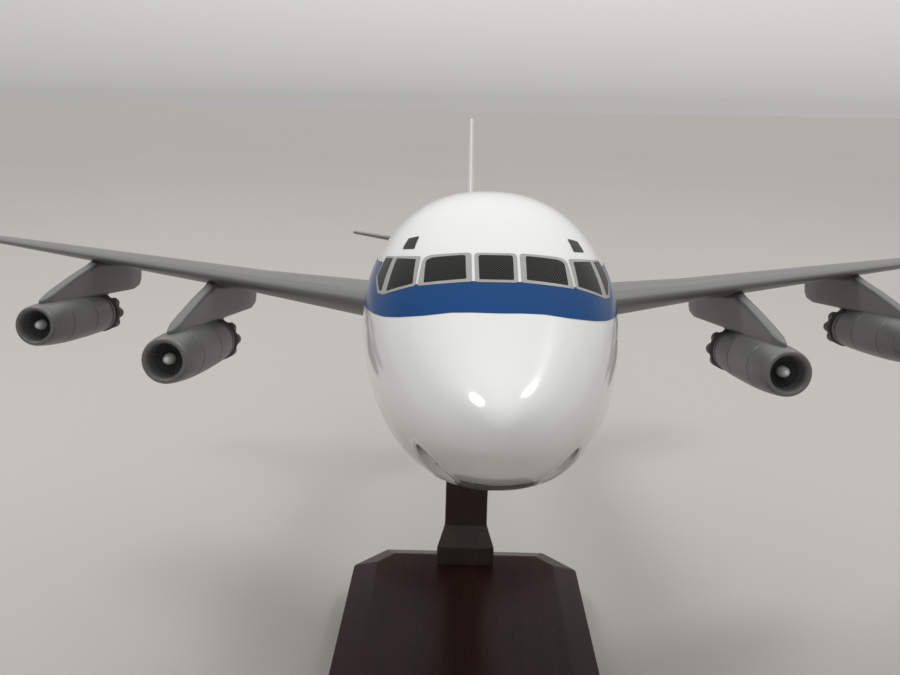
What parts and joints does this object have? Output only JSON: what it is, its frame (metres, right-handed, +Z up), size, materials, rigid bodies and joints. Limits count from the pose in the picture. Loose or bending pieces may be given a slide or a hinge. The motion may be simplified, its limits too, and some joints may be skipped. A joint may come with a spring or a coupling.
{
  "type": "desktop airliner model",
  "caption": "Display model of a jet airliner with engines under its swept wings, on a dark wooden stand that lets it turn and lift off.",
  "frame": {"origin": "centre of the underside of the base, on the surface it stands on", "axes": "+Z up; the aircraft's nose points along -Y; +X to the aircraft's port side"},
  "size_m": [0.434, 0.4539, 0.2091],
  "materials": {
    "base_wood": "glossy lacquered dark mahogany",
    "post_wood": "satin lacquered dark mahogany",
    "block_wood": "plain sanded",
    "felt": "felt",
    "screw_steel": "plain",
    "peg_steel": "ground",
    "spar_metal": "plain",
    "bush_brass": "turned",
    "body_paint": "gloss white with a blue cheatline",
    "wing_paint": "satin grey",
    "nacelle_paint": "satin grey",
    "lip_paint": "satin light grey",
    "fan_paint": "satin dark grey with a pale spinner",
    "pipe_paint": "satin dark grey"
  },
  "bodies": {
    "stand": {"felt_pad": "felt", "base_board": "base_wood", "post": "post_wood", "post_screws": "screw_steel", "post_bush": "bush_brass"},
    "peg": {"peg": "peg_steel"},
    "airframe": {"fuselage_port": "body_paint", "fuselage_starboard": "body_paint", "socket_block": "block_wood", "belly_bush": "bush_brass", "wing_spar": "spar_metal", "wing_port": "wing_paint", "wing_starboard": "wing_paint", "fin": "body_paint", "tailplane_port": "wing_paint", "tailplane_starboard": "wing_paint", "pylon_1": "wing_paint", "pylon_2": "wing_paint", "pylon_3": "wing_paint", "pylon_4": "wing_paint", "cowl_1": "nacelle_paint", "cowl_2": "nacelle_paint", "cowl_3": "nacelle_paint", "cowl_4": "nacelle_paint", "intake_lip_1": "lip_paint", "intake_lip_2": "lip_paint", "intake_lip_3": "lip_paint", "intake_lip_4": "lip_paint", "fan_1": "fan_paint", "fan_2": "fan_paint", "fan_3": "fan_paint", "fan_4": "fan_paint", "nozzle_1": "pipe_paint", "nozzle_2": "pipe_paint", "nozzle_3": "pipe_paint", "nozzle_4": "pipe_paint", "exhaust_cone_1": "pipe_paint", "exhaust_cone_2": "pipe_paint", "exhaust_cone_3": "pipe_paint", "exhaust_cone_4": "pipe_paint", "tail_spar": "spar_metal"}
  },
  "joints": [
    {"name": "turn", "type": "hinge", "parent": "stand", "child": "peg", "pos_m": [0, 0.017, 0.1382], "axis": [0, 0.1736, 0.9848], "continuous": true},
    {"name": "lift_off", "type": "slide", "parent": "peg", "child": "airframe", "axis": [0, 0.1736, 0.9848], "range_m": [0, 0.04]}
  ]
}
